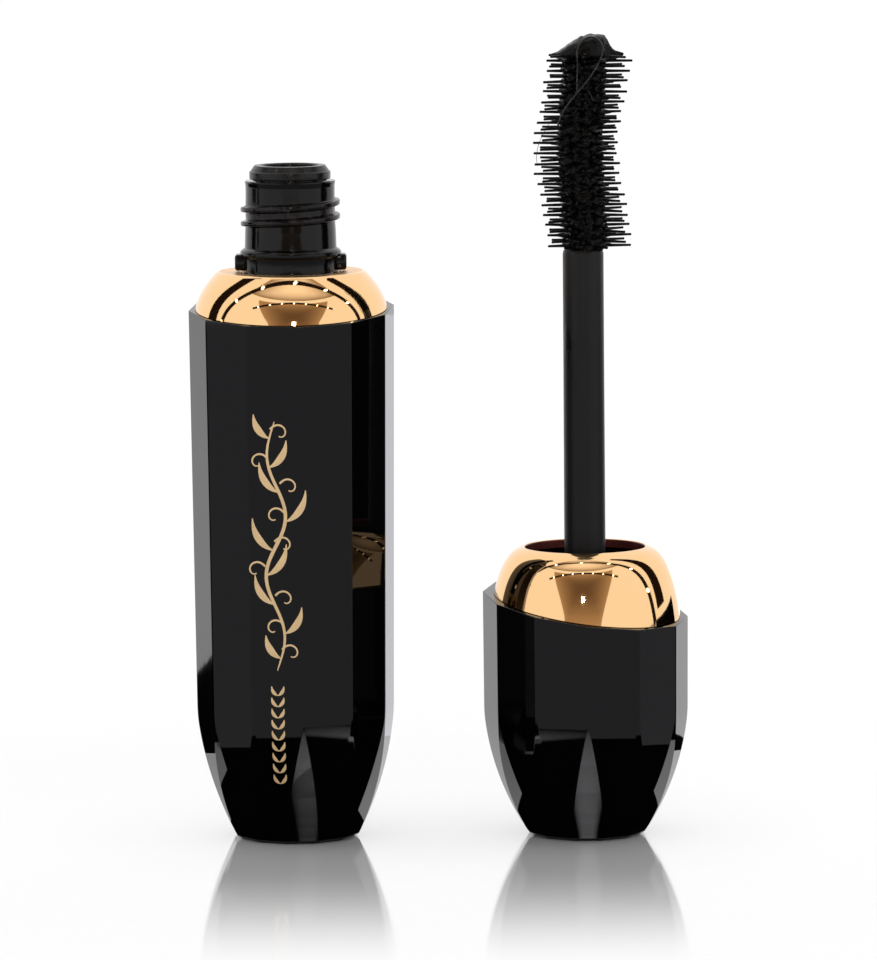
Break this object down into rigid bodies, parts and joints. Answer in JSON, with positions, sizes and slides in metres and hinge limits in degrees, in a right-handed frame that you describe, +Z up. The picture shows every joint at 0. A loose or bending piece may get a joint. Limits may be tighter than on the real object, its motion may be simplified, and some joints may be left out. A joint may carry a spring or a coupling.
{
  "type": "mascara tube with brush applicator",
  "caption": "Faceted black mascara bottle with threaded neck and gold collar, and its screw cap with stem and moulded brush standing beside it.",
  "frame": {"origin": "centre of the bottle's foot, on the surface it stands on", "axes": "+Z up along the bottle's axis; +X from the bottle towards the applicator standing beside it; -Y is the bottle's ornamented front"},
  "size_m": [0.062, 0.0256, 0.1002],
  "materials": {
    "gloss_black": "high-gloss lacquered ABS",
    "moulded_black": "glossy moulded polypropylene",
    "satin_black": "satin moulded plastic",
    "gold_mirror": "polished pale gold anodised aluminium",
    "weight_metal": "plain zinc-plated weight",
    "wiper_rubber": "soft moulded rubber",
    "gasket_foam": "white foamed sealing ring",
    "brush_elastomer": "black moulded elastomer, wet with mascara",
    "mascara_formula": "wet black cream"
  },
  "bodies": {
    "bottle": {"bottle_shell": "gloss_black", "bottle_weight": "weight_metal", "vial": "moulded_black", "wiper": "wiper_rubber", "bottle_collar": "gold_mirror", "mascara_fill": "mascara_formula"},
    "turned_over": {"product_strand": "mascara_formula"},
    "lowered_in": {"product_drop": "mascara_formula"},
    "sealing_ring": {"cap_gasket": "gasket_foam"},
    "applicator": {"cap_shell": "gloss_black", "cap_weight": "weight_metal", "inner_cap": "moulded_black", "cap_collar": "gold_mirror", "stem": "satin_black", "brush": "brush_elastomer"}
  },
  "joints": [
    {"name": "applicator_turn", "type": "hinge", "parent": "bottle", "child": "turned_over", "pos_m": [0.0182, 0, 0.0938], "axis": [0, -1, 0], "range_deg": [0, 180], "deforming": ["product_strand", "brush", "product_drop"]},
    {"name": "applicator_insert", "type": "slide", "parent": "turned_over", "child": "lowered_in", "axis": [0, 0, 1], "range_m": [0, 0.07765]},
    {"name": "thread_travel", "type": "slide", "parent": "lowered_in", "child": "sealing_ring", "axis": [0, 0, 1], "range_m": [0, 0.00245]},
    {"name": "cap_spin", "type": "hinge", "parent": "sealing_ring", "child": "applicator", "pos_m": [0.0364, 0, 0.01], "axis": [0, 0, 1], "range_deg": [0, 504.4]}
  ],
  "couplings": [
    {"joint": "thread_travel", "follows": "cap_spin", "m_per_rad": 0.00027852}
  ]
}
